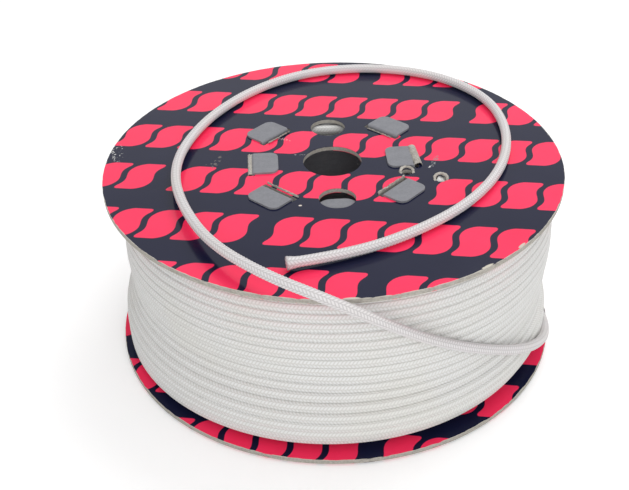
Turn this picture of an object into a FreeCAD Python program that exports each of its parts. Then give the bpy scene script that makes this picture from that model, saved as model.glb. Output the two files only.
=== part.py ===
"""Board reel of braided cord: two slotted round flanges on a folded eight-sided core, wound full.

Millimetres, +Z up. The origin is under the middle of the reel, on the surface that it stands on.
+Y points to the far drive hole and -Y to the near one, and the free cord starts near +X.
"""

import FreeCAD
import Part

import math
import os

from FreeCAD import Vector

os.makedirs("parts", exist_ok=True)

# Flanges
flange_d = 280.0
board_t = 2.5
liner_t = 0.25
arbor_d = 36.0
drive_d = 22.0
drive_pitch = 86.0
start_hole_d = 6.5
start_holes = [(43.8, -17.6), (62.9, -27.7)]

# Core: a strip of thinner board, scored into eight panels
core_flats = 99.0
core_t = 1.2
sides = 8
score_inner_r = 0.4
inside_w = 112.0
glue_flap_w = 24.0
glue_flap_inset = 9.0
far_panel = 2
near_panel = 6
seam_panel = 4

# Tabs at both ends of the core, and the slots they go through
tab_w = 23.6
tab_l = 15.0
tab_corner_r = 5.0
flap_l = 9.3
flap_corner_r = 8.0
fold_r = 0.6
slot_end_gap = 1.2
slot_slack = 2.4
relief_depth = 14.5

# Cord
cord_d = 6.0
wound_h = 5.5
wound_w = 6.2
turn_gap = 0.45
soft_gap = 0.3

# How far the winding's outside lies in from the rim, and how far up from the lower flange
base_in = 8.0
bulge_in = 3.7
bulge_up = 19.0
waist_in = 10.5
waist_up = 50.0
crown_in = 9.0
crown_up = 70.0
top_in = 11.0

# The lowest turns are a little oval and lie towards -X, which fades out at the bulge
low_oval = 1.5
low_shift = 2.5

# The last turn and the free cord
lead_out = 36.0
first_turn_at = 90.0
last_turn_at = 12.7
last_turn_lift = 0.6

# Levels, from the surface up: the lower tabs lie under the lower flange
lower_under = core_t
lower_inner = lower_under + board_t + 2 * liner_t
upper_inner = lower_inner + inside_w
upper_outer = upper_inner + board_t + 2 * liner_t

panel_out = core_flats / 2
panel_in = panel_out - core_t
panel_step = 360.0 / sides
score_outer_r = score_inner_r + core_t

# A cut reaches this much past both sides of a core wall
cut_over = 2 * core_t

# An edge is found by its place to this tolerance, and a corner radius takes at most this share of a width
same_place = 0.01
corner_share = 0.48
cord_sides = 8

# The free cord, from where it starts to climb over the winding to its cut end on the upper flange
cord_route = [
    (131.5, -50.0, 15.0),
    (112.5, -86.0, 33.5),
    (82.9, -109.7, 53.5),
    (47.2, -130.3, 79.0),
    (14.6, -145.8, 107.5),
    (-13.4, -149.3, 127.2),
    (-44.1, -129.7, 130.0),
    (-72.2, -97.2, 128.8),
    (-88.2, -58.2, 127.0),
    (-95.9, -19.1, 125.2),
    (-91.9, 18.9, 123.8),
    (-75.1, 60.4, 123.0),
    (-46.5, 96.3, 122.6),
    (-9.0, 119.0, 122.5),
    (37.0, 122.0, 122.5),
    (80.5, 104.5, 122.5),
    (108.5, 68.0, 122.5),
    (113.0, 22.0, 122.5),
    (101.0, -23.5, 122.5),
    (74.0, -61.5, 122.5),
    (37.0, -89.5, 122.8),
    (-0.4, -106.4, 123.2),
    (-32.0, -112.5, 124.0),
]


def turned(shape, degrees):
    """A copy of shape turned about the reel's axis."""
    copy = shape.copy()
    copy.rotate(Vector(0, 0, 0), Vector(0, 0, 1), degrees)
    return copy


def block(size_x, size_y, size_z, centre_x, centre_y, low_z):
    """A box given by its sizes, the middle of its plan and its lowest level."""
    corner = Vector(centre_x - size_x / 2, centre_y - size_y / 2, low_z)
    return Part.makeBox(size_x, size_y, size_z, corner)


def hole(diameter, x, y, low_z, height):
    """A plug that cuts a round hole."""
    return Part.makeCylinder(diameter / 2, height, Vector(x, y, low_z))


def folds_inwards(panel):
    """Panels are counted from +X. Those on the X axis fold their tabs in, the four between fold out."""
    return panel % 4 == 0


def has_no_slot(panel):
    """The two panels on the Y axis have a drive hole above them and no slot."""
    return panel % 4 == 2


def slot(panel, low_z, height):
    """A slot wide enough for the panel, with its slack on the side away from the fold."""
    inner = panel_in - (fold_r if folds_inwards(panel) else slot_slack)
    outer = panel_out + (slot_slack if folds_inwards(panel) else fold_r)
    length = tab_w + 2 * slot_end_gap
    plug = block(outer - inner, length, height, (inner + outer) / 2, 0, low_z)
    return turned(plug, panel * panel_step)


def sheet(low_z, thickness, with_start_holes):
    """A round sheet of a flange, punched through: arbor hole, drive holes and slots."""
    disc = Part.makeCylinder(flange_d / 2, thickness, Vector(0, 0, low_z))
    plugs = [
        hole(arbor_d, 0, 0, low_z, thickness),
        hole(drive_d, 0, drive_pitch / 2, low_z, thickness),
        hole(drive_d, 0, -drive_pitch / 2, low_z, thickness),
    ]
    for panel in range(sides):
        if not has_no_slot(panel):
            plugs.append(slot(panel, low_z, thickness))
    if with_start_holes:
        for x, y in start_holes:
            plugs.append(hole(start_hole_d, x, y, low_z, thickness))
    return disc.cut(plugs)


def folded_tab(inwards, seat_z, reach, length, corner_r):
    """A tab at +X: up through its slot, round the fold and flat on the flange.

    seat_z is the level under its flat part, reach how far the upright part goes down from there,
    and length how far the flat part goes out from the panel.
    """
    side = -1 if inwards else 1
    near = panel_in if inwards else panel_out
    far = panel_out if inwards else panel_in
    bend_x = near + side * fold_r
    bend_z = seat_z - fold_r
    outer_r = fold_r + core_t
    mid = math.sqrt(0.5)
    tip = near + side * length
    top_z = seat_z + core_t

    def at(x, z):
        return Vector(x, 0, z)

    def round_bend(radius, start, end):
        middle = at(bend_x - side * radius * mid, bend_z + radius * mid)
        return Part.Arc(start, middle, end).toShape()

    near_foot = at(near, seat_z - reach)
    near_bend = at(near, bend_z)
    under_bend = at(bend_x, seat_z)
    under_tip = at(tip, seat_z)
    over_tip = at(tip, top_z)
    over_bend = at(bend_x, top_z)
    far_bend = at(far, bend_z)
    far_foot = at(far, seat_z - reach)
    edges = [
        Part.LineSegment(near_foot, near_bend).toShape(),
        round_bend(fold_r, near_bend, under_bend),
        Part.LineSegment(under_bend, under_tip).toShape(),
        Part.LineSegment(under_tip, over_tip).toShape(),
        Part.LineSegment(over_tip, over_bend).toShape(),
        round_bend(outer_r, over_bend, far_bend),
        Part.LineSegment(far_bend, far_foot).toShape(),
        Part.LineSegment(far_foot, near_foot).toShape(),
    ]
    section = Part.Face(Part.Wire(edges))
    section.translate(Vector(0, -tab_w / 2, 0))
    tab = section.extrude(Vector(0, tab_w, 0))
    return rounded_tip(tab, tip, corner_r)


def rounded_tip(tab, tip, corner_r):
    """The same tab with its two free corners rounded."""
    corners = []
    for edge in tab.Edges:
        middle = edge.BoundBox.Center
        upright = edge.BoundBox.ZLength > core_t / 2
        at_tip = abs(middle.x - tip) < same_place
        at_side = abs(abs(middle.y) - tab_w / 2) < same_place
        if upright and at_tip and at_side:
            corners.append(edge)
    return tab.makeFillet(min(corner_r, corner_share * tab_w), corners)


def octagon(across_flats, low_z, height, corner_r):
    """An eight-sided prism with a flat side facing +X and its upright edges rounded."""
    radius = across_flats / 2 / math.cos(math.pi / sides)
    points = []
    for corner in range(sides + 1):
        angle = math.radians((corner + 0.5) * panel_step)
        points.append(Vector(radius * math.cos(angle), radius * math.sin(angle), low_z))
    prism = Part.Face(Part.makePolygon(points)).extrude(Vector(0, 0, height))
    upright = [edge for edge in prism.Edges if edge.BoundBox.ZLength > height / 2]
    return prism.makeFillet(corner_r, upright)


def tabs_through_flange():
    """The six tabs at the upper end, folded flat on the flange."""
    through = upper_outer - upper_inner
    tabs = []
    for panel in range(sides):
        if not has_no_slot(panel):
            tab = folded_tab(folds_inwards(panel), upper_outer, through, tab_l, tab_corner_r)
            tabs.append(turned(tab, panel * panel_step))
    return tabs


def flap_under_flange():
    """The near panel's flap, folded in under the flange across the outer half of the drive hole."""
    flap = folded_tab(True, upper_inner - core_t, cut_over, flap_l, flap_corner_r)
    return turned(flap, near_panel * panel_step)


def far_relief():
    """The notch where the far panel's flap is cut away, so that the drive hole shows the cord."""
    notch = block(2 * cut_over, tab_w, relief_depth, panel_out, 0, upper_inner - relief_depth)
    return turned(notch, far_panel * panel_step)


def make_core():
    """The core board: an eight-sided tube, the same at both ends, closed by a glue flap inside."""
    tube = octagon(core_flats, lower_inner, inside_w, score_outer_r)
    bore = octagon(core_flats - 2 * core_t, lower_inner, inside_w, score_inner_r)
    tube = tube.cut(bore)
    middle_z = (lower_inner + upper_inner) / 2
    centre = Vector(0, 0, middle_z)

    upper_pieces = tabs_through_flange() + [flap_under_flange()]
    lower_pieces = [piece.mirror(centre, Vector(0, 0, 1)) for piece in upper_pieces]
    upper_notch = far_relief()
    lower_notch = upper_notch.mirror(centre, Vector(0, 0, 1))

    # The flap of the near panel takes the place of the wall's own square end
    fold_room = block(2 * cut_over, tab_w, cut_over, panel_out, 0, upper_inner - cut_over)
    upper_room = turned(fold_room, near_panel * panel_step)
    lower_room = upper_room.mirror(centre, Vector(0, 0, 1))

    flap_x = panel_in - core_t / 2
    flap_h = inside_w - 2 * glue_flap_inset
    glue_flap = block(core_t, glue_flap_w, flap_h, flap_x, 0, lower_inner + glue_flap_inset)
    glue_flap = turned(glue_flap, seam_panel * panel_step)

    core = tube.cut([upper_notch, lower_notch, upper_room, lower_room])
    return core.fuse(upper_pieces + lower_pieces + [glue_flap]).removeSplitter()


def eased(start, end, share):
    """From start to end with a gentle start and finish, as share goes from 0 to 1."""
    share = min(max(share, 0.0), 1.0)
    return start + (end - start) * (1 - math.cos(math.pi * share)) / 2


def inset(height):
    """How far the winding's outside lies in from the rim: a bulge low down, a waist and a crown."""
    up = height - lower_inner
    levels = [(0.0, base_in), (bulge_up, bulge_in), (waist_up, waist_in), (crown_up, crown_in)]
    levels.append((inside_w, top_in))
    for (low_up, low_in), (high_up, high_in) in zip(levels, levels[1:]):
        if up <= high_up:
            break
    return eased(low_in, high_in, (up - low_up) / (high_up - low_up))


def make_inner_layers():
    """The cord under the outer layer, as one plain mass from flange to flange."""
    deepest = max(waist_in, top_in, base_in + low_oval, base_in + low_shift - low_oval)
    outer_r = flange_d / 2 - deepest - wound_w - soft_gap
    low = lower_inner
    high = upper_inner - soft_gap
    mass = Part.makeCylinder(outer_r, high - low, Vector(0, 0, low))
    bore = octagon(core_flats + 2 * soft_gap, low, high - low, score_outer_r)
    return mass.cut(bore)


def arc_by_corner(start, corner, end):
    """The arc that leaves start towards corner and reaches end from there."""
    chord_middle = (start + end) * 0.5
    rise = corner - chord_middle
    half_chord = (end - start).Length / 2
    half_turn = math.atan2(rise.Length, half_chord)
    sagitta = half_chord * math.tan(half_turn / 2)
    middle = chord_middle + rise.normalize() * sagitta
    return Part.Arc(start, middle, end).toShape()


def biarc(start, start_way, end, end_way):
    """Two arcs of equal tangent length between two points with given directions."""
    span = end - start
    both = start_way + end_way
    a = both.dot(both) - 4
    b = -2 * span.dot(both)
    c = span.dot(span)
    reach = (-b - math.sqrt(b * b - 4 * a * c)) / (2 * a)
    first_corner = start + start_way * reach
    second_corner = end - end_way * reach
    joint = (first_corner + second_corner) * 0.5
    return [arc_by_corner(start, first_corner, joint), arc_by_corner(joint, second_corner, end)]


def winding_size():
    """The turns that fit between the flanges, and the levels of the first and the last."""
    low = lower_inner + last_turn_lift + cord_d / 2
    high = upper_inner - soft_gap - cord_d / 2
    part_turn = ((first_turn_at - last_turn_at) % 360) / 360
    whole_turns = math.floor((high - low) / (wound_h + turn_gap) - part_turn)
    return low, high, whole_turns + part_turn


def winding_point(share):
    """A point of the winding's line: share is 0 at the upper end and 1 at the lower end."""
    low, high, turns = winding_size()
    height = high + (low - high) * share
    angle = math.radians(last_turn_at) + 2 * math.pi * turns * (1 - share)
    lowness = eased(1.0, 0.0, (height - lower_inner) / bulge_up)
    radius = flange_d / 2 - inset(height) - wound_w / 2
    radius += low_oval * math.cos(2 * angle) * lowness
    x = radius * math.cos(angle) - low_shift * lowness
    return Vector(x, radius * math.sin(angle), height)


def winding_way(share):
    """The direction of the winding's line there, towards its lower end."""
    step = 1e-5
    return (winding_point(share + step) - winding_point(share - step)).normalize()


def swept(section, edges, name):
    """A tube of one section along a smooth line of arcs and straight runs."""
    path = Part.Wire(edges)
    tube = path.makePipeShell([section], True, False)
    length = path.Length
    area = Part.Face(section).Area
    print(name, "length", round(length, 1), "volume over section x length",
          round(tube.Volume / (area * length), 4))
    return tube


def cord_section(centre, way, width, height):
    """A flat-sided section across way, height measured as near to upright as it can be."""
    side = way.cross(Vector(0, 0, 1)).normalize()
    up = side.cross(way).normalize()
    to_corner = 1 / math.cos(math.pi / cord_sides)
    points = []
    for corner in range(cord_sides + 1):
        angle = 2 * math.pi * (corner + 0.5) / cord_sides
        out = side * (width / 2 * to_corner * math.cos(angle))
        rise = up * (height / 2 * to_corner * math.sin(angle))
        points.append(centre + out + rise)
    return Part.makePolygon(points)


def make_outer_layer():
    """The outer layer: one tube in close turns from the upper flange to the lower one."""
    turns = winding_size()[2]
    quarters = math.ceil(4 * turns)
    edges = []
    first_way = winding_way(0)
    first = winding_point(0) - first_way * cord_d
    edges.append(Part.LineSegment(first, winding_point(0)).toShape())
    for quarter in range(quarters):
        start = quarter / quarters
        end = (quarter + 1) / quarters
        edges += biarc(winding_point(start), winding_way(start), winding_point(end), winding_way(end))
    last_way = winding_way(1)
    last = winding_point(1) + last_way * cord_d
    edges.append(Part.LineSegment(winding_point(1), last).toShape())
    section = cord_section(first, first_way, wound_w, wound_h)
    tube = swept(section, edges, "rope_outer_layer")
    print("turns", round(turns, 2), "least gap between turns", round(least_turn_gap(), 3))
    return tube, last, last_way


def least_turn_gap():
    """The least gap between one turn and the next, measured on points of the line."""
    per_turn = 1 / winding_size()[2]
    steps = 360
    least = math.inf
    for step in range(steps):
        share = (1 - per_turn) * step / steps
        here = winding_point(share)
        below = winding_point(share + per_turn)
        least = min(least, (here - below).Length - wound_h)
    return least


def rounded_route(points):
    """Straight runs joined by tangent arcs, each as large as its two runs allow."""
    share_of_run = 0.45
    radii = []
    edges = []
    start = points[0]
    for before, corner, after in zip(points, points[1:], points[2:]):
        back = (before - corner).normalize()
        ahead = (after - corner).normalize()
        half_turn = (math.pi - back.getAngle(ahead)) / 2
        reach = share_of_run * min((before - corner).Length, (after - corner).Length)
        radii.append(reach / math.tan(half_turn))
        arc_start = corner + back * reach
        arc_end = corner + ahead * reach
        edges.append(Part.LineSegment(start, arc_start).toShape())
        edges.append(arc_by_corner(arc_start, corner, arc_end))
        start = arc_end
    edges.append(Part.LineSegment(start, points[-1]).toShape())
    print("route radii", [round(radius) for radius in radii])
    return edges


def make_free_end(start, start_way):
    """The free cord: it leaves the last turn straight, climbs over the winding and lies on the flange."""
    points = [start, start + start_way * lead_out]
    points += [Vector(*point) for point in cord_route]
    edges = rounded_route(points)
    section = cord_section(start, start_way, cord_d, cord_d)
    return swept(section, edges, "rope_free_end")


def save(name, shape):
    """One file for each piece, named after it."""
    solid = shape.Solids[0] if len(shape.Solids) == 1 else shape
    print(name, "solids", len(shape.Solids), "valid", shape.isValid(), "volume", round(shape.Volume))
    solid.exportStep(f"parts/{name}.step")


def main():
    board_low = lower_under + liner_t
    board_high = upper_inner + liner_t
    save("lower_flange_outer_liner", sheet(lower_under, liner_t, False))
    save("lower_flange_board", sheet(board_low, board_t, False))
    save("lower_flange_inner_liner", sheet(board_low + board_t, liner_t, False))
    save("upper_flange_inner_liner", sheet(upper_inner, liner_t, True))
    save("upper_flange_board", sheet(board_high, board_t, True))
    save("upper_flange_outer_liner", sheet(board_high + board_t, liner_t, True))
    save("core_board", make_core())
    save("rope_inner_layers", make_inner_layers())
    outer_layer, cord_start, cord_way = make_outer_layer()
    save("rope_outer_layer", outer_layer)
    save("rope_free_end", make_free_end(cord_start, cord_way))


main()
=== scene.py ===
# %% [markdown]
# A board reel wound full of braided cord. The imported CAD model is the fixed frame: the round
# flanges, the printed liners and the folded core stay as they are and get their finish here.
# The cord is soft, so it is modelled again in Blender: the loose end, the close turns of the
# outside, and the turns under them. All sizes are in metres, with +Z up and the reel on z = 0.

# %% Load the frame
import math
import random

import bpy
import numpy as np
from mathutils import Matrix, Vector


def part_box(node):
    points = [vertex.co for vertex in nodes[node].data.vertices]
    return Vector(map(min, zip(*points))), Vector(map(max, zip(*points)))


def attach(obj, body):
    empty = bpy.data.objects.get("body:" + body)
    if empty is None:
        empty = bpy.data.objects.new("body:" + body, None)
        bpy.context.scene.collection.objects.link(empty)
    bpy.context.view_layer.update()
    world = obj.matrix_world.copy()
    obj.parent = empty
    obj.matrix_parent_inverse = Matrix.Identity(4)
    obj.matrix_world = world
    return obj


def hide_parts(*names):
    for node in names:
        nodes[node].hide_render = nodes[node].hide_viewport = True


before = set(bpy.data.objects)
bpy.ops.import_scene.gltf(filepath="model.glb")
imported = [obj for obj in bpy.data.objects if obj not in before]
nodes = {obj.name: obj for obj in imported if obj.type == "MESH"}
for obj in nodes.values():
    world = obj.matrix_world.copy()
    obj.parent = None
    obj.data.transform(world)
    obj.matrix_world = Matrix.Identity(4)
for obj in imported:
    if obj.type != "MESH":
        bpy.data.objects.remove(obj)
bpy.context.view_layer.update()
mm = 0.001
print("CAD nodes", sorted(nodes))

# %% Heights and widths taken from the frame
rim_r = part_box("upper_flange_board")[1].x
lower_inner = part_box("lower_flange_inner_liner")[1].z
upper_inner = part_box("upper_flange_inner_liner")[0].z
flange_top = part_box("upper_flange_outer_liner")[1].z
print("rim radius", round(rim_r, 4), "flange top", round(flange_top, 4))

# %% [markdown]
# The camera comes first, so that every later step can be looked at from the right place. The
# picture looks down on the reel at about 35 degrees, from nearly 0.7 metres away. A long lens
# far off would flatten the two ellipses of the flanges, so the lens and the distance belong
# together. Blender's camera looks along its own -Z, so it is tipped up about X from looking
# straight down, rolled a little about its own axis, and turned with the reel about Z.

# %% Camera
picture_w = 629
focal_px = 1107.28
camera_place = (-0.03610, -0.58780, 0.46270)
look_down = math.radians(34.5747)
roll = math.radians(-1.6898)
turn = math.radians(-2.3)
camera_data = bpy.data.cameras.new("camera")
camera_data.sensor_width = 36.0
camera_data.lens = focal_px / picture_w * camera_data.sensor_width
camera_data.clip_start = 0.01
camera = bpy.data.objects.new("camera", camera_data)
bpy.context.scene.collection.objects.link(camera)
aim = Matrix.Rotation(turn, 4, "Z") @ Matrix.Rotation(math.pi / 2 - look_down, 4, "X")
rolled_aim = aim @ Matrix.Rotation(roll, 4, "Z")
camera.matrix_world = Matrix.Translation(camera_place) @ rolled_aim
bpy.context.scene.camera = camera
print("lens", round(camera_data.lens, 2), "mm")

# %% [markdown]
# The loose end of the cord leaves the lowest turn on the right, climbs across the front of the
# winding, comes over the rim and lies on the upper flange in one big loop, to a cut end. Cord
# of this kind bends in long smooth curves, so its line is one NURBS spline through a few given
# control points. The order is set after the points, or Blender keeps straight runs.

# %% The loose end's line
cord_d = 6.0 * mm
loose_route = [
    (126.39, 22.85, 7.76),
    (134.56, -12.21, 7.49),
    (131.5, -50.0, 15.0),
    (112.5, -86.0, 33.5),
    (82.9, -109.7, 53.5),
    (47.2, -130.3, 79.0),
    (14.6, -145.8, 107.5),
    (-13.4, -149.3, 127.2),
    (-44.1, -129.7, 130.0),
    (-72.2, -97.2, 128.8),
    (-88.2, -58.2, 127.0),
    (-95.9, -19.1, 125.2),
    (-91.9, 18.9, 123.8),
    (-75.1, 60.4, 123.0),
    (-46.5, 96.3, 122.6),
    (-9.0, 119.0, 122.5),
    (37.0, 122.0, 122.5),
    (80.5, 104.5, 122.5),
    (108.5, 68.0, 122.5),
    (113.0, 22.0, 122.5),
    (101.0, -23.5, 122.5),
    (74.0, -61.5, 122.5),
    (37.0, -89.5, 122.8),
    (-0.4, -106.4, 123.2),
    (-32.0, -112.5, 124.0),
]


def spline_points(name, route, resolution):
    """The points along a smooth spline with these control points, read from a bare curve."""
    curve = bpy.data.curves.new(name, "CURVE")
    curve.dimensions = "3D"
    curve.resolution_u = resolution
    spline = curve.splines.new("NURBS")
    spline.points.add(len(route) - 1)
    for point, place in zip(spline.points, route):
        point.co = (*(Vector(place) * mm), 1.0)
    spline.order_u = 3
    spline.use_endpoint_u = True
    holder = bpy.data.objects.new(name, curve)
    bpy.context.scene.collection.objects.link(holder)
    bpy.context.view_layer.update()
    line = bpy.data.meshes.new_from_object(holder)
    points = np.array([vertex.co for vertex in line.vertices], float)
    bpy.data.objects.remove(holder)
    bpy.data.curves.remove(curve)
    bpy.data.meshes.remove(line)
    return points


def lengths_along(points):
    """How far along the line each of its points is."""
    steps = np.linalg.norm(np.diff(points, axis=0), axis=1)
    return np.concatenate([[0.0], np.cumsum(steps)])


def evenly_spaced(points, step):
    """The same line with its points about one step apart."""
    along = lengths_along(points)
    count = max(2, round(along[-1] / step) + 1)
    wanted = np.linspace(0.0, along[-1], count)
    return np.stack([np.interp(wanted, along, points[:, axis]) for axis in range(3)], 1)


loose_line = spline_points("loose_end_line", loose_route, 40)

# %% [markdown]
# A tube that follows a line needs a frame at each of its points: the way along, a side and an
# up. Carrying the last side on to the next point, and taking out what is no longer square to
# the line, turns the frame as little as can be, so the braid doesn't twist round the cord. On
# the winding the side always points away from the reel's axis instead.

# %% Frames and tubes
def ways_along(points):
    """The unit direction of the line at each of its points."""
    ways = np.gradient(points, axis=0)
    return ways / np.linalg.norm(ways, axis=1)[:, None]


def carried_sides(points, first_side):
    """A side for each point, carried along the line with the least turning."""
    ways = ways_along(points)
    sides = np.empty_like(points)
    side = np.array(first_side, float)
    for index, way in enumerate(ways):
        side = side - way * side.dot(way)
        side = side / np.linalg.norm(side)
        sides[index] = side
    return sides


def tube(name, points, sides, side_offsets, up_offsets, pick):
    """A closed tube mesh. The offsets give each ring's corners, as points by corners.

    Its UV map runs along in picks of the braid and once round from 0 to 1.
    """
    ways = ways_along(points)
    ups = np.cross(ways, sides)
    rings, corners = side_offsets.shape
    places = (
        points[:, None, :]
        + sides[:, None, :] * side_offsets[:, :, None]
        + ups[:, None, :] * up_offsets[:, :, None]
    )
    first = (np.arange(rings - 1)[:, None] * corners + np.arange(corners)[None, :]).ravel()
    ahead = (np.arange(corners) + 1) % corners
    second = (np.arange(rings - 1)[:, None] * corners + ahead[None, :]).ravel()
    quads = np.stack([first, first + corners, second + corners, second], 1)
    start_cap = list(range(corners))
    end_cap = list(range((rings - 1) * corners, rings * corners))[::-1]
    mesh = bpy.data.meshes.new(name)
    mesh.from_pydata(places.reshape(-1, 3).tolist(), [], quads.tolist() + [start_cap, end_cap])
    along = lengths_along(points) / pick
    round_share = np.arange(corners + 1) / corners
    near = np.stack(np.broadcast_arrays(along[:-1, None], round_share[None, :-1]), -1)
    far = np.stack(np.broadcast_arrays(along[1:, None], round_share[None, :-1]), -1)
    far_next = np.stack(np.broadcast_arrays(along[1:, None], round_share[None, 1:]), -1)
    near_next = np.stack(np.broadcast_arrays(along[:-1, None], round_share[None, 1:]), -1)
    uv = np.stack([near, far, far_next, near_next], 2).reshape(-1, 2)
    start_uv = np.stack([np.full(corners, along[0]), round_share[:-1]], 1)
    end_uv = np.stack([np.full(corners, along[-1]), round_share[:-1]], 1)[::-1]
    layer = mesh.uv_layers.new(name="braid")
    layer.data.foreach_set("uv", np.concatenate([uv, start_uv, end_uv]).astype(np.float32).ravel())
    mesh.polygons.foreach_set("use_smooth", [True] * len(mesh.polygons))
    mesh.update()
    piece = bpy.data.objects.new(name, mesh)
    bpy.context.scene.collection.objects.link(piece)
    return piece


# %% [markdown]
# The cord is a braid of sixteen strands. Seen from any side it shows columns of slanted picks,
# each column leaning the other way to its neighbour, so two columns make a row of V shapes.
# The height of that pattern is worked out here once, and used twice: as true relief on the
# loose end, and as a bump on the wound turns, which are too long to carry it in their mesh.

# %% The braid's relief
columns = 8
pick = 2.06 * mm
lean = 0.9


def braid_height(along, round_share):
    """0 in the gaps and 1 on top of a pick; along is in picks, round_share goes once round."""
    column = np.floor(round_share * columns)
    across = round_share * columns - column
    odd = np.mod(column, 2)
    phase = along + (1 - 2 * odd) * (across - 0.5) * lean + 0.5 * odd
    in_pick = phase - np.floor(phase)
    ridge = 1 - (2 * in_pick - 1) ** 2
    side_fall = 1 - (2 * across - 1) ** 4
    return ridge * side_fall


print("relief between", braid_height(0.0, 0.0), "and", braid_height(0.5, 0.0625))

# %% The loose end
loose_step = 0.47 * mm
loose_corners = 40
relief = 0.256 * mm
flare_share, flare_l = 0.25, 4.0 * mm
ragged_rings, ragged_depth = 14, 0.34 * mm
loose_points = evenly_spaced(loose_line, loose_step)
loose_sides = carried_sides(loose_points, (1.0, 0.0, 0.0))
loose_along = lengths_along(loose_points)
corner_share = (np.arange(loose_corners) + 0.5) / loose_corners
picked = braid_height(loose_along[:, None] / pick, corner_share[None, :])
from_end = loose_along[-1] - loose_along
flare = 1 + flare_share * np.exp(-((from_end / flare_l) ** 2))
chooser = random.Random(7)
ragged = np.array(
    [[chooser.uniform(-1, 1) for _ in range(loose_corners)] for _ in range(ragged_rings)]
)
ring_r = cord_d / 2 * flare[:, None] - relief * (1 - picked)
ring_r[-ragged_rings:] += ragged_depth * ragged * np.linspace(0, 1, ragged_rings)[:, None]
corner_angle = 2 * math.pi * corner_share[None, :]
loose_end = tube(
    "loose_end",
    loose_points,
    loose_sides,
    ring_r * np.cos(corner_angle),
    ring_r * np.sin(corner_angle),
    pick,
)
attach(loose_end, "root")
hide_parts("rope_free_end")
print("loose end triangles", 2 * len(loose_end.data.polygons))

# %% [markdown]
# The outside of the winding is one cord in close turns from the upper flange down to the lower
# one. It isn't a plain cylinder: the lowest turns bulge nearly to the rim, and the middle has a
# waist. The line is the formula of the CAD source, made fuller on the right, where the real
# winding stands out further. On top of it each turn wanders a little, as hand-fed cord does, and
# all turns near each other wander together, so that they never cross. The section is squarer
# than round, because wound cord packs against its neighbours, and that leaves only shallow
# grooves. Heights and insets in the tables below are in millimetres, and angles in degrees.

# %% The winding's line
inside_w = upper_inner - lower_inner
wound_w = 6.2 * mm
turn_pitch = 5.95 * mm
gap_below, gap_above = 0.6 * mm, 0.3 * mm
first_turn_at, last_turn_at = 90.0, 12.7
low_oval, low_shift, low_reach = 1.5 * mm, 2.5 * mm, 19 * mm
wander_out, wander_up = 0.22 * mm, 0.32 * mm
fullest_at = -10.0
beside_full, beside_spread, beside_heights = 1.1, 24.0, (7, 12, 13, 24)
above_full, above_power, above_heights = 4.6, 1.3, (34, 50)
levels = [(0, 8.0), (19, 3.7), (50, 10.5), (70, 9.0), (inside_w / mm, 11.0)]
winding_low = lower_inner + gap_below + cord_d / 2
winding_high = upper_inner - gap_above - cord_d / 2
part_turn = (first_turn_at - last_turn_at) / 360
winding_turns = math.floor((winding_high - winding_low) / turn_pitch - part_turn) + part_turn


def eased(start, end, share):
    """From start to end with a gentle start and finish, as share goes from 0 to 1."""
    share = min(max(share, 0.0), 1.0)
    return start + (end - start) * (1 - math.cos(math.pi * share)) / 2


def risen(up, low, high):
    """0 up to the low height and 1 from the high one on, smooth between."""
    return eased(0.0, 1.0, (up - low) / (high - low))


def inset(height):
    """How far the winding's outside lies in from the rim at this height."""
    up = (height - lower_inner) / mm
    for (low_up, low_in), (high_up, high_in) in zip(levels, levels[1:]):
        if up <= high_up:
            break
    return eased(low_in, high_in, (up - low_up) / (high_up - low_up)) * mm


def right_fullness(angle, up):
    """How much fuller the winding is on the right: low down beside the loose end, and above."""
    aside = math.remainder(angle - math.radians(fullest_at), 2 * math.pi)
    rise_from, rise_to, fall_from, fall_to = beside_heights
    beside = beside_full * math.exp(-((aside / math.radians(beside_spread)) ** 2))
    beside *= risen(up, rise_from, rise_to) * (1 - risen(up, fall_from, fall_to))
    above = above_full * max(math.cos(aside), 0.0) ** above_power * risen(up, *above_heights)
    return (beside + above) * mm


def winding_point(share):
    """A point of the winding's line: share is 0 at the upper end and 1 at the lower end."""
    height = winding_high + (winding_low - winding_high) * share
    angle = math.radians(last_turn_at) + 2 * math.pi * winding_turns * (1 - share)
    lowness = eased(1.0, 0.0, (height - lower_inner) / low_reach)
    radius = rim_r - inset(height) - wound_w / 2 + low_oval * math.cos(2 * angle) * lowness
    radius += right_fullness(angle, (height - lower_inner) / mm)
    freedom = math.sin(math.pi * share) ** 0.5
    sway = math.sin(3 * angle + height / (11 * mm)) + math.sin(2 * angle - height / (17 * mm))
    lift = math.sin(2 * angle + height / (23 * mm))
    lift += 0.6 * math.sin(5 * angle - height / (29 * mm))
    radius += wander_out * sway * freedom
    height += wander_up * lift * freedom
    x = radius * math.cos(angle) - low_shift * lowness
    return (x, radius * math.sin(angle), height)


winding_count = 4200
winding_shares = [index / winding_count for index in range(winding_count + 1)]
winding_line = np.array([winding_point(share) for share in winding_shares])
outside_length = float(lengths_along(winding_line)[-1])
print("turns", round(winding_turns, 2), "cord on the outside", round(outside_length, 2), "m")

# %% Tubes for wound cord
squareness = 0.54


def outward_sides(points):
    """A side for each point that points away from the reel's axis, square to the line."""
    sides = points * np.array([1.0, 1.0, 0.0])
    ways = ways_along(points)
    sides = sides - ways * (sides * ways).sum(1)[:, None]
    return sides / np.linalg.norm(sides, axis=1)[:, None]


def wound_tube(name, points, width, height, corners):
    """Wound cord: a squarish section, width measured away from the axis."""
    angle = 2 * math.pi * np.arange(corners) / corners
    cos, sin = np.cos(angle), np.sin(angle)
    side = width / 2 * np.sign(cos) * np.abs(cos) ** squareness
    up = height / 2 * np.sign(sin) * np.abs(sin) ** squareness
    side_offsets = np.tile(side, (len(points), 1))
    up_offsets = np.tile(up, (len(points), 1))
    return tube(name, points, outward_sides(points), side_offsets, up_offsets, pick)


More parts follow.
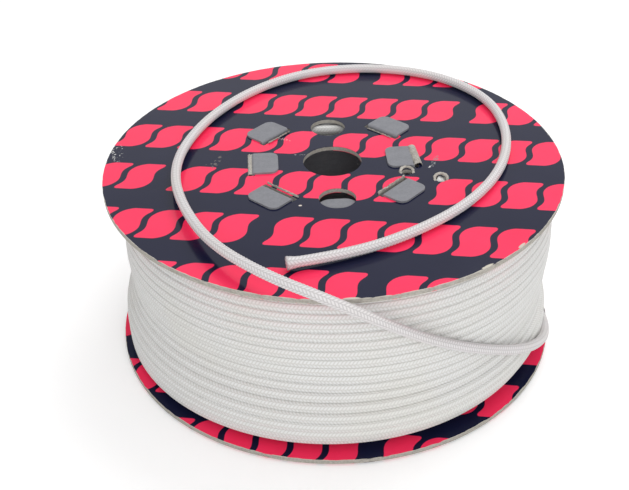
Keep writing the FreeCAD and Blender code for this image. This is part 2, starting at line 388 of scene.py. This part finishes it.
# %% The outside turns
wound_h = 6.4 * mm
wound_step = 3.3 * mm
wound_corners = 14
run_on = 7 * mm
winding_points = evenly_spaced(winding_line, wound_step)
last_way = winding_points[-1] - winding_points[-2]
last_way = last_way / np.linalg.norm(last_way)
winding_points = np.concatenate([winding_points, [winding_points[-1] + last_way * run_on]])
outside_turns = wound_tube("outside_turns", winding_points, wound_w, wound_h, wound_corners)
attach(outside_turns, "root")
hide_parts("rope_outer_layer")
print("outside turns triangles", 2 * len(outside_turns.data.polygons))

# %% [markdown]
# Under the outside lie some twelve more layers. Only a few of their turns can ever be seen: the
# ones against the flanges, through the small starting holes, and the first layer on the core,
# through the drive hole. So the hidden mass is modelled by its skin: a layer just under the
# outside, a flat spiral against each flange, and the first layer on the eight-sided core. The
# cord's start stands up from there into the outer starting hole.

# %% The layer under the outside, the spirals and the first layer
hidden_pitch = 6.1 * mm
under_h = 6.15 * mm
under_step, core_step = 5 * mm, 4 * mm
under_corners, start_corners = 8, 12
under_r = rim_r - 20.6 * mm
under_low, under_high = lower_inner + 3.1 * mm, upper_inner - 3.3 * mm
core_flat = 49.5 * mm
core_corner_r = core_flat * 1.055 + cord_d / 2
core_mean_r = core_flat * 1.02 + cord_d / 2
round_after = 7
past_x = 1 / 3
step_out_at, step_out_share = 0.76, 0.18
start_d = 5.3 * mm
start_foot = (61.2 * mm, -27.0 * mm, upper_inner - 3 * mm)
start_tip = (63.2 * mm, -28.0 * mm, flange_top - 0.3 * mm)


def round_core(angle):
    """The first layer's radius: against the flats of the core, eased over its corners."""
    off_middle = (angle + math.pi / 8) % (math.pi / 4) - math.pi / 8
    flat_r = (core_flat + cord_d / 2) / math.cos(off_middle)
    return min(flat_r, core_corner_r)


def helix(radius_at, step):
    """Points of a helix that ends a third of a turn past +X, out of sight of the drive hole."""
    turns = round((under_high - under_low) / hidden_pitch) + past_x
    count = round(turns * 2 * math.pi * radius_at(0.0) / step)
    angles = np.linspace(0.0, 2 * math.pi * turns, count)
    radii = np.array([radius_at(angle) for angle in angles])
    heights = under_low + (under_high - under_low) * angles / angles[-1]
    return np.stack([radii * np.cos(angles), radii * np.sin(angles), heights], 1)


def flat_layers(height, step):
    """Points of the turns against a flange: each steps out to the next between -Y and +X."""
    layers = int((under_r - core_flat - cord_d / 2) / hidden_pitch)
    points = []
    for layer in range(1, layers + 1):
        count = round(2 * math.pi * (core_flat + layer * hidden_pitch) / step)
        roundness = min(1.0, layer / round_after)
        for index in range(count):
            share = index / count
            angle = 2 * math.pi * share
            out = layer + eased(0.0, 1.0, (share - step_out_at) / step_out_share)
            first = round_core(angle) * (1 - roundness) + core_mean_r * roundness
            radius = first + out * hidden_pitch
            points.append((radius * math.cos(angle), radius * math.sin(angle), height))
    return np.array(points)


under_lines = [
    helix(lambda angle: under_r, under_step),
    helix(round_core, core_step),
    flat_layers(under_high, under_step),
    flat_layers(under_low, under_step),
]
under_turns = []
for index, line in enumerate(under_lines):
    turns = wound_tube(f"under_turns_{index}", line, wound_w, under_h, under_corners)
    under_turns.append(turns)
start_line = np.linspace(start_foot, start_tip, 9)
under_turns.append(wound_tube("cord_start", start_line, start_d, start_d, start_corners))
bpy.ops.object.select_all(action="DESELECT")
for piece in under_turns:
    piece.select_set(True)
bpy.context.view_layer.objects.active = under_turns[0]
bpy.ops.object.join()
hidden_turns = under_turns[0]
hidden_turns.name = "hidden_turns"
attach(hidden_turns, "root")
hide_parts("rope_inner_layers")
print("hidden turns triangles", 2 * len(hidden_turns.data.polygons))

# %% [markdown]
# A material is a small machine of nodes. A few helpers keep the machines readable: one adds a
# maths node and gives back its output, so that a formula can be written as it is read.

# %% Node helpers
def new_material(name):
    """A material with its node tree and its Principled shader."""
    material = bpy.data.materials.new(name)
    material.use_nodes = True
    shader = material.node_tree.nodes["Principled BSDF"]
    return material, material.node_tree, shader


def maths(tree, operation, *inputs):
    """A maths node's output; an input is a number or another node's output."""
    node = tree.nodes.new("ShaderNodeMath")
    node.operation = operation
    for socket, item in zip(node.inputs, inputs):
        if isinstance(item, (int, float)):
            socket.default_value = item
        else:
            tree.links.new(item, socket)
    return node.outputs[0]


def blend_of(tree, share, first, second):
    """A mix of two colours; each is a colour or an output."""
    node = tree.nodes.new("ShaderNodeMix")
    node.data_type = "RGBA"
    sockets = [node.inputs["Factor"], node.inputs[6], node.inputs[7]]
    for socket, item in zip(sockets, (share, first, second)):
        if isinstance(item, bpy.types.NodeSocket):
            tree.links.new(item, socket)
        elif isinstance(item, tuple):
            socket.default_value = (*item, 1.0)
        else:
            socket.default_value = item
    return node.outputs[2]


def step_of(tree, value, low, high):
    """0 below low, 1 above high and smooth between."""
    node = tree.nodes.new("ShaderNodeMapRange")
    node.interpolation_type = "SMOOTHSTEP"
    tree.links.new(value, node.inputs["Value"])
    node.inputs["From Min"].default_value = low
    node.inputs["From Max"].default_value = high
    return node.outputs["Result"]


def noise_of(tree, place, scale, detail=2.0):
    """A noise value at this place."""
    node = tree.nodes.new("ShaderNodeTexNoise")
    node.inputs["Scale"].default_value = scale
    node.inputs["Detail"].default_value = detail
    tree.links.new(place, node.inputs["Vector"])
    return node.outputs["Fac"]


def bump_of(tree, height, distance, strength=1.0):
    """A bump's normal from a height value."""
    node = tree.nodes.new("ShaderNodeBump")
    node.inputs["Strength"].default_value = strength
    node.inputs["Distance"].default_value = distance
    tree.links.new(height, node.inputs["Height"])
    return node.outputs["Normal"]


def object_place(tree):
    """The place on the piece, in object coordinates."""
    return tree.nodes.new("ShaderNodeTexCoord").outputs["Object"]


def parts_of(tree, vector):
    """The three parts of a vector, each an output."""
    node = tree.nodes.new("ShaderNodeSeparateXYZ")
    tree.links.new(vector, node.inputs[0])
    return node.outputs


def wear(piece, material):
    """Gives a piece one material all over."""
    piece.data.materials.clear()
    piece.data.materials.append(material)


# %% [markdown]
# The cord's finish reads its own UV map, which counts picks along and goes once round. The same
# herringbone as above is written with maths nodes. On the wound turns it is a bump and a change
# of tone: the tops of the picks are painted lighter, as a highlight, and the gaps between strands
# and between turns are painted darker and creamy, as shade; the loose end gets the same painted
# shade and highlight. A real cord is soiled a little unevenly, so a slow noise turns it warmer in
# places.

# %% Cord finish
soil_tint = (0.98, 0.97, 0.935)
# The gap colours are painted shade and the top colours a painted highlight; only the bump is true
# relief.
wound_gap_shade, wound_top_highlight, wound_bump = (0.61, 0.602, 0.572), (0.775, 0.778, 0.775), 0.17 * mm
loose_gap_shade, loose_top_highlight, loose_bump = (0.50, 0.475, 0.475), (0.76, 0.74, 0.75), 0.04 * mm


def braid_of(tree):
    """The braid's height, as braid_height has it, from the UV map."""
    uv = tree.nodes.new("ShaderNodeUVMap")
    uv.uv_map = "braid"
    parts = parts_of(tree, uv.outputs[0])
    along, round_share = parts[0], parts[1]
    scaled = maths(tree, "MULTIPLY", round_share, float(columns))
    column = maths(tree, "FLOOR", scaled)
    across = maths(tree, "SUBTRACT", scaled, column)
    odd = maths(tree, "FLOORED_MODULO", column, 2.0)
    facing = maths(tree, "MULTIPLY_ADD", odd, -2.0, 1.0)
    leaning = maths(tree, "MULTIPLY", maths(tree, "SUBTRACT", across, 0.5), lean)
    shifted = maths(tree, "MULTIPLY_ADD", leaning, facing, along)
    phase = maths(tree, "MULTIPLY_ADD", odd, 0.5, shifted)
    in_pick = maths(tree, "FRACT", phase)
    centred = maths(tree, "MULTIPLY_ADD", in_pick, 2.0, -1.0)
    ridge = maths(tree, "SUBTRACT", 1.0, maths(tree, "MULTIPLY", centred, centred))
    middle = maths(tree, "MULTIPLY_ADD", across, 2.0, -1.0)
    edge = maths(tree, "POWER", maths(tree, "ABSOLUTE", middle), 4.0)
    side_fall = maths(tree, "SUBTRACT", 1.0, edge)
    return maths(tree, "MULTIPLY", ridge, side_fall)


def make_cord_finish(name, gap_shade_colour, top_highlight_colour, bump_depth):
    """Braided cord with painted shade in the gaps, a painted highlight on the tops and a soft
    sheen.
    """
    material, tree, shader = new_material(name)
    height = braid_of(tree)
    soiled = step_of(tree, noise_of(tree, object_place(tree), 22.0, 3.0), 0.42, 0.7)
    soiled_colour = tuple(part * tint for part, tint in zip(top_highlight_colour, soil_tint))
    tops = blend_of(tree, soiled, top_highlight_colour, soiled_colour)
    # Painted shade in the braid's gaps and a painted highlight on its tops.
    tree.links.new(blend_of(tree, height, gap_shade_colour, tops), shader.inputs["Base Color"])
    tree.links.new(bump_of(tree, height, bump_depth), shader.inputs["Normal"])
    shader.inputs["Roughness"].default_value = 0.62
    shader.inputs["Sheen Weight"].default_value = 0.15
    shader.inputs["Sheen Roughness"].default_value = 0.5
    return material


wound_finish = make_cord_finish("wound_cord", wound_gap_shade, wound_top_highlight, wound_bump)
loose_finish = make_cord_finish("loose_cord", loose_gap_shade, loose_top_highlight, loose_bump)
wear(outside_turns, wound_finish)
wear(hidden_turns, wound_finish)
wear(loose_end, loose_finish)

# %% [markdown]
# The flanges are grey board with a printed, varnished paper on both faces. The print is a
# generic one in coral on navy: rows of a twisted rope, drawn as slanted strands that bend like
# an S, in lengths with a gap between, and each row shifted against the next. It is drawn by
# distance: for a point in a cell, the distance to a rounded box tells whether there is ink. At
# the rim the paper is worn through and pale board shows. The varnish is what gives dark ink its
# soft grey veil: it mirrors the bright room, so the ink itself is dark. The top sheet, which lies
# open to the room, has more of that gloss than the sheets that face the cord or the floor.

# %% Print finish
row_pitch = 50.0 * mm
row_tilt = math.radians(11.0)
strand_pitch = 20.6 * mm
strands = 7
rope_w = strands * strand_pitch + 11.0 * mm
strand_w = 16.6 * mm
strand_h = 29.5 * mm
strand_round = 4.2 * mm
strand_slant = math.tan(math.radians(24))
strand_bend = 2.6 * mm
row_shift = 67.0 * mm
print_offset = (4.0 * mm, -21.0 * mm, 0.0)
ink_edge = 0.15 * mm
navy_dark, navy_light = (0.006, 0.0075, 0.029), (0.011, 0.013, 0.040)
coral_dark, coral_light = (0.95, 0.026, 0.095), (1.0, 0.040, 0.13)
rim_wear = (0.50 * mm, 0.62 * mm)
rim_colour = (0.56, 0.53, 0.47)
patch_edge = (1.15, 0.55)
scratch_band = (0.62, 0.66)
top_gloss, other_gloss = 0.20, 0.06


def patch_of(tree, parts, centre, half_size, degrees):
    """1 inside an oval patch of the flange and 0 outside, with a soft edge; sizes in mm."""
    turned_by = math.radians(degrees)
    cos, sin = math.cos(turned_by), math.sin(turned_by)
    off_x = maths(tree, "SUBTRACT", parts[0], centre[0] * mm)
    off_y = maths(tree, "SUBTRACT", parts[1], centre[1] * mm)
    along = maths(tree, "MULTIPLY_ADD", off_y, sin, maths(tree, "MULTIPLY", off_x, cos))
    aside = maths(tree, "MULTIPLY_ADD", off_x, -sin, maths(tree, "MULTIPLY", off_y, cos))
    along = maths(tree, "POWER", maths(tree, "DIVIDE", along, half_size[0] * mm), 2.0)
    aside = maths(tree, "POWER", maths(tree, "DIVIDE", aside, half_size[1] * mm), 2.0)
    return step_of(tree, maths(tree, "ADD", along, aside), *patch_edge)


def rope_print(tree, place):
    """1 where the paper is printed coral and 0 where it is navy."""
    turned = tree.nodes.new("ShaderNodeMapping")
    turned.inputs["Rotation"].default_value = (0.0, 0.0, row_tilt)
    turned.inputs["Location"].default_value = print_offset
    tree.links.new(place, turned.inputs["Vector"])
    flat = parts_of(tree, turned.outputs[0])
    row_place = maths(tree, "DIVIDE", flat[1], row_pitch)
    row = maths(tree, "ROUND", row_place)
    up = maths(tree, "MULTIPLY", maths(tree, "SUBTRACT", row_place, row), row_pitch)
    bend = maths(tree, "SINE", maths(tree, "MULTIPLY", up, 2 * math.pi / strand_h))
    slanted = maths(tree, "MULTIPLY_ADD", up, -strand_slant, flat[0])
    slanted = maths(tree, "MULTIPLY_ADD", bend, strand_bend, slanted)
    shifted = maths(tree, "MULTIPLY_ADD", row, row_shift, slanted)
    in_rope = maths(tree, "FLOORED_MODULO", shifted, rope_w)
    strand = maths(tree, "FLOOR", maths(tree, "DIVIDE", in_rope, strand_pitch))
    strand = maths(tree, "MINIMUM", strand, strands - 1.0)
    middle = maths(tree, "MULTIPLY_ADD", strand, strand_pitch, strand_pitch / 2)
    off = maths(tree, "ABSOLUTE", maths(tree, "SUBTRACT", in_rope, middle))
    side = maths(tree, "MAXIMUM", maths(tree, "SUBTRACT", off, strand_w / 2 - strand_round), 0.0)
    rise = maths(tree, "SUBTRACT", maths(tree, "ABSOLUTE", up), strand_h / 2 - strand_round)
    rise = maths(tree, "MAXIMUM", rise, 0.0)
    square = maths(tree, "ADD", maths(tree, "POWER", side, 2.0), maths(tree, "POWER", rise, 2.0))
    reach = maths(tree, "SUBTRACT", maths(tree, "SQRT", square), strand_round)
    return step_of(tree, reach, ink_edge, -ink_edge)


def make_print_finish(name, patches, gloss):
    """Varnished paper with the rope print, worn at the rim and in these patches."""
    material, tree, shader = new_material(name)
    place = object_place(tree)
    parts = parts_of(tree, place)
    slow = noise_of(tree, place, 30.0, 4.0)
    navy = blend_of(tree, slow, navy_dark, navy_light)
    coral = blend_of(tree, slow, coral_dark, coral_light)
    finish = blend_of(tree, rope_print(tree, place), navy, coral)
    for centre, half_size, degrees, scale, amount, colour in patches:
        low, high = scratch_band[0] - amount, scratch_band[1] - amount
        scratches = step_of(tree, noise_of(tree, place, scale, 4.0), low, high)
        inside = patch_of(tree, parts, centre, half_size, degrees)
        worn = maths(tree, "MULTIPLY", scratches, inside)
        finish = blend_of(tree, worn, finish, colour)
    radius = maths(tree, "POWER", parts[0], 2.0)
    radius = maths(tree, "SQRT", maths(tree, "ADD", radius, maths(tree, "POWER", parts[1], 2.0)))
    ragged = maths(tree, "MULTIPLY_ADD", noise_of(tree, place, 170.0, 4.0), 1.5 * mm, radius)
    worn_rim = step_of(tree, ragged, rim_r + rim_wear[0], rim_r + rim_wear[1])
    finish = blend_of(tree, worn_rim, finish, rim_colour)
    tree.links.new(finish, shader.inputs["Base Color"])
    ripple = noise_of(tree, place, 60.0, 2.0)
    tree.links.new(bump_of(tree, ripple, 0.25 * mm, 0.25), shader.inputs["Normal"])
    shader.inputs["Roughness"].default_value = 0.13
    shader.inputs["Specular IOR Level"].default_value = gloss
    return material


chalk, dust, bare_board = (0.62, 0.62, 0.60), (0.14, 0.125, 0.12), (0.60, 0.56, 0.48)
scuff, scratch = (0.24, 0.24, 0.25), (0.36, 0.34, 0.33)
spot, faded_ink = (0.7, 0.62, 0.55), (0.75, 0.40, 0.42)
# Each mark: centre, half size, degrees, how fine it is, how much of it is worn, colour
marks = [
    ((-134.0, 26.0), (16.0, 4.2), 100.0, 620.0, 0.0, chalk),
    ((-137.2, 27.0), (15.0, 1.5), 101.0, 900.0, 0.07, chalk),
    ((-71.0, 5.5), (8.0, 2.0), 72.0, 330.0, 0.07, dust),
    ((-73.5, 3.5), (4.6, 1.0), 8.0, 500.0, 0.12, dust),
    ((62.5, -6.0), (7.0, 1.9), 66.0, 800.0, 0.07, scuff),
    ((59.0, -12.5), (2.2, 1.0), 30.0, 800.0, 0.16, chalk),
    ((-22.0, -49.0), (1.1, 0.8), 0.0, 900.0, 0.3, spot),
    ((-30.0, 30.5), (6.5, 1.6), -28.0, 1100.0, 0.07, faded_ink),
    ((0.0, -139.6), (4.8, 1.1), 0.0, 240.0, 0.4, bare_board),
    ((96.0, -100.5), (3.4, 0.9), 46.0, 500.0, 0.3, bare_board),
    ((74.0, -118.0), (4.5, 1.0), 32.0, 400.0, 0.2, bare_board),
    ((-20.0, 9.5), (4.0, 0.6), -4.0, 600.0, 0.10, scratch),
]
worn_print_finish = make_print_finish("printed_paper_worn", marks, top_gloss)
print_finish = make_print_finish("printed_paper", [], other_gloss)
for name in nodes:
    if name.endswith("_liner"):
        wear(nodes[name], print_finish)
wear(nodes["upper_flange_outer_liner"], worn_print_finish)
print("marks on the upper print", len(marks))

# %% [markdown]
# The board itself shows only at cut edges: the rims, the walls of the holes, and the folded
# tabs of the core. It is pressed from layers of grey pulp, so the cut has fine streaks along the
# board and little fibres that stand out. The core board is the same stuff, a shade darker and
# smoother on its faces.

# %% Board finish
board_dark, board_light = (0.30, 0.28, 0.245), (0.46, 0.435, 0.39)
core_dark, core_light = (0.205, 0.208, 0.228), (0.24, 0.243, 0.265)
torn_light = (0.52, 0.49, 0.44)


def make_board_finish(name, dark, light, streak):
    """Grey board: mottled, with layers along the board; streak is how fine they are."""
    material, tree, shader = new_material(name)
    place = object_place(tree)
    stretched = tree.nodes.new("ShaderNodeMapping")
    stretched.inputs["Scale"].default_value = (1.0, 1.0, streak)
    tree.links.new(place, stretched.inputs["Vector"])
    layers = noise_of(tree, stretched.outputs[0], 180.0, 5.0)
    mottled = noise_of(tree, place, 900.0, 2.0)
    mixed = maths(tree, "MULTIPLY_ADD", mottled, 0.5, maths(tree, "MULTIPLY", layers, 0.5))
    colour = blend_of(tree, step_of(tree, mixed, 0.35, 0.65), dark, light)
    tree.links.new(colour, shader.inputs["Base Color"])
    tree.links.new(bump_of(tree, mixed, 0.16 * mm, 0.6), shader.inputs["Normal"])
    shader.inputs["Roughness"].default_value = 0.8
    return material


edge_finish = make_board_finish("board_edge", board_dark, board_light, 9.0)
tab_finish = make_board_finish("core_board_face", core_dark, core_light, 3.0)
wear(nodes["upper_flange_board"], edge_finish)
wear(nodes["lower_flange_board"], edge_finish)
wear(nodes["core_board"], tab_finish)

# %% [markdown]
# Where the tabs were pushed through, the card tore: along some slots a thin lip of it stands up
# and curls over, and each small starting hole has a ragged collar that the cord's end pushed
# out. A lip starts as an upright grid. Its top edge is roughened, a Simple Deform modifier
# curls it, and Solidify gives it the card's thickness. A collar is a flattened torus that leans
# forward a little and is roughened all round. Both are modelled at the origin and then laid in
# their place. The tables below are in millimetres and degrees, with heights over the flange.

# %% Torn lips and collars
torn_finish = make_board_finish("torn_card", board_dark, torn_light, 2.0)
card_t = 0.35 * mm
lip_tear = 0.5 * mm
collar_r, collar_thick, collar_flatness = 3.9 * mm, 1.0 * mm, 0.85
collar_lean = 24.0
collar_tears = [(-1.0, 0.55 * mm), (0.5 * mm, 0.5 * mm)]
# Each lip: place, degrees, length, width, curl, seed
lips = {
    "east": ((53.4, 0.6, -0.4), 94.0, 22.0, 7.4, 175.0, 3),
    "west": ((-52.1, 0.4, -1.4), -90.0, 24.0, 4.2, 150.0, 5),
    "south_east": ((33.0, -31.8, -0.2), 45.0, 25.0, 1.3, 60.0, 8),
    "south_west": ((-31.6, -31.6, -0.2), 135.0, 25.0, 1.2, -50.0, 11),
    "north_west": ((-32.2, 32.2, -0.3), -135.0, 19.0, 1.5, 60.0, 13),
    "north_east": ((32.2, 32.2, -0.3), 135.0, 19.0, 1.1, 60.0, 17),
}
# Each collar: place, seed
collars = {
    "inner": ((43.8, -17.4, 0.05), 21),
    "outer": ((62.9, -27.4, 0.05), 31),
}


def roughen(piece, above, offset, seed):
    """Moves the vertices above this height about a little, as a tear does."""
    bpy.ops.object.mode_set(mode="EDIT")
    bpy.ops.mesh.select_all(action="DESELECT")
    bpy.ops.object.mode_set(mode="OBJECT")
    for vertex in piece.data.vertices:
        vertex.select = vertex.co.z > above
    bpy.ops.object.mode_set(mode="EDIT")
    bpy.ops.transform.vertex_random(offset=offset, uniform=0.4, seed=seed)
    bpy.ops.object.mode_set(mode="OBJECT")


def apply_all(piece):
    """Applies the piece's modifiers in their order."""
    for modifier in list(piece.modifiers):
        bpy.ops.object.modifier_apply(modifier=modifier.name)


def lay(piece, place, degrees):
    """Turns the piece about Z, moves it to its place and settles both in its mesh."""
    x, y, lift = place
    piece.rotation_euler = (0.0, 0.0, math.radians(degrees))
    piece.location = (x * mm, y * mm, flange_top + lift * mm)
    bpy.ops.object.transform_apply(location=True, rotation=True, scale=True)
    bpy.ops.object.shade_smooth_by_angle(angle=math.radians(50))
    wear(piece, torn_finish)
    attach(piece, "root")


def torn_lip(name, place, degrees, length, width, curl, seed):
    """A lip that stands up from the flange and curls over; a curl below 0 goes the other way."""
    bpy.ops.object.select_all(action="DESELECT")
    bpy.ops.mesh.primitive_grid_add(
        x_subdivisions=22, y_subdivisions=7, size=1.0, rotation=(math.pi / 2, 0.0, 0.0)
    )
    lip = bpy.context.object
    lip.name = name
    lip.scale = (length * mm, width * mm, 1.0)
    bpy.ops.object.transform_apply(location=False, rotation=True, scale=True)
    bpy.ops.object.mode_set(mode="EDIT")
    bpy.ops.mesh.select_all(action="SELECT")
    bpy.ops.transform.translate(value=(0.0, 0.0, width / 2 * mm))
    bpy.ops.object.mode_set(mode="OBJECT")
    roughen(lip, width / 2 * mm, lip_tear, seed)
    bend = lip.modifiers.new("curl", "SIMPLE_DEFORM")
    bend.deform_method = "BEND"
    bend.deform_axis = "X"
    bend.angle = math.radians(curl)
    card = lip.modifiers.new("card", "SOLIDIFY")
    card.thickness = card_t
    card.offset = 0.0
    apply_all(lip)
    lay(lip, place, degrees)
    return lip


def collar(name, place, seed):
    """A ragged ring round a small hole, pushed up more on its far side."""
    bpy.ops.object.select_all(action="DESELECT")
    bpy.ops.mesh.primitive_torus_add(
        major_segments=32, minor_segments=8, major_radius=collar_r, minor_radius=collar_thick
    )
    ring = bpy.context.object
    ring.name = name
    ring.scale = (1.0, 1.0, collar_flatness)
    ring.rotation_euler = (math.radians(collar_lean), 0.0, 0.0)
    bpy.ops.object.transform_apply(location=False, rotation=True, scale=True)
    for step, (above, offset) in enumerate(collar_tears):
        roughen(ring, above, offset, seed + step)
    smooth = ring.modifiers.new("soften", "SUBSURF")
    smooth.levels = smooth.render_levels = 1
    apply_all(ring)
    lay(ring, place, 0.0)
    return ring


torn = [torn_lip(f"torn_lip_{where}", *values) for where, values in lips.items()]
torn += [collar(f"start_hole_collar_{where}", *values) for where, values in collars.items()]
print("torn pieces", [piece.name for piece in torn])

# %% [markdown]
# The reel stands on a plain white floor. The floor is a real one, so it takes the reel's soft
# shadow and throws light back up. What the camera sees of it is lifted a little to white by its
# own material, and not by more light, which would bleach the cord.

# %% Floor
floor_lift = 0.26
bpy.ops.object.select_all(action="DESELECT")
bpy.ops.mesh.primitive_plane_add(size=12.0, location=(0.0, 0.0, 0.0))
floor = bpy.context.object
floor.name = "floor"
floor_finish, floor_tree, floor_shader = new_material("floor")
floor_shader.inputs["Base Color"].default_value = (0.86, 0.86, 0.86, 1.0)
floor_shader.inputs["Roughness"].default_value = 0.9
rays = floor_tree.nodes.new("ShaderNodeLightPath")
floor_shader.inputs["Emission Color"].default_value = (1.0, 1.0, 1.0, 1.0)
lifted = maths(floor_tree, "MULTIPLY", rays.outputs["Is Camera Ray"], floor_lift)
floor_tree.links.new(lifted, floor_shader.inputs["Emission Strength"])
wear(floor, floor_finish)

# %% [markdown]
# The light is that of a white studio: bright from all round, with one large soft lamp above,
# behind and to the right, which gives the loose end its shadow side and draws the picks, and
# another in front for the winding. The room is white where it is seen or mirrored, and its light
# on the reel is held back a little.

# %% Light
room_light, room_extra_seen = 0.66, 0.34
reel_middle = Vector((0.0, 0.0, 0.06))
world = bpy.data.worlds.new("room")
bpy.context.scene.world = world
world.use_nodes = True
room = world.node_tree.nodes["Background"]
room.inputs["Color"].default_value = (1.0, 1.0, 1.0, 1.0)
room_rays = world.node_tree.nodes.new("ShaderNodeLightPath")
seen = room_rays.outputs["Is Camera Ray"]
for kind in ("Is Glossy Ray", "Is Transmission Ray"):
    seen = maths(world.node_tree, "MAXIMUM", seen, room_rays.outputs[kind])
room_level = maths(world.node_tree, "MULTIPLY_ADD", seen, room_extra_seen, room_light)
world.node_tree.links.new(room_level, room.inputs["Strength"])


def soft_lamp(name, place, size, power):
    """A large square lamp that faces the middle of the reel."""
    data = bpy.data.lights.new(name, "AREA")
    data.size = size
    data.energy = power
    lamp = bpy.data.objects.new(name, data)
    bpy.context.scene.collection.objects.link(lamp)
    lamp.location = place
    towards_reel = reel_middle - Vector(place)
    lamp.rotation_euler = towards_reel.to_track_quat("-Z", "Y").to_euler()


soft_lamp("lamp_above", (0.45, 0.55, 1.35), size=0.9, power=8.0)
soft_lamp("lamp_front", (0.15, -1.5, 0.8), size=1.2, power=10.0)

# %% View settings
bpy.context.scene.view_settings.view_transform = "Standard"
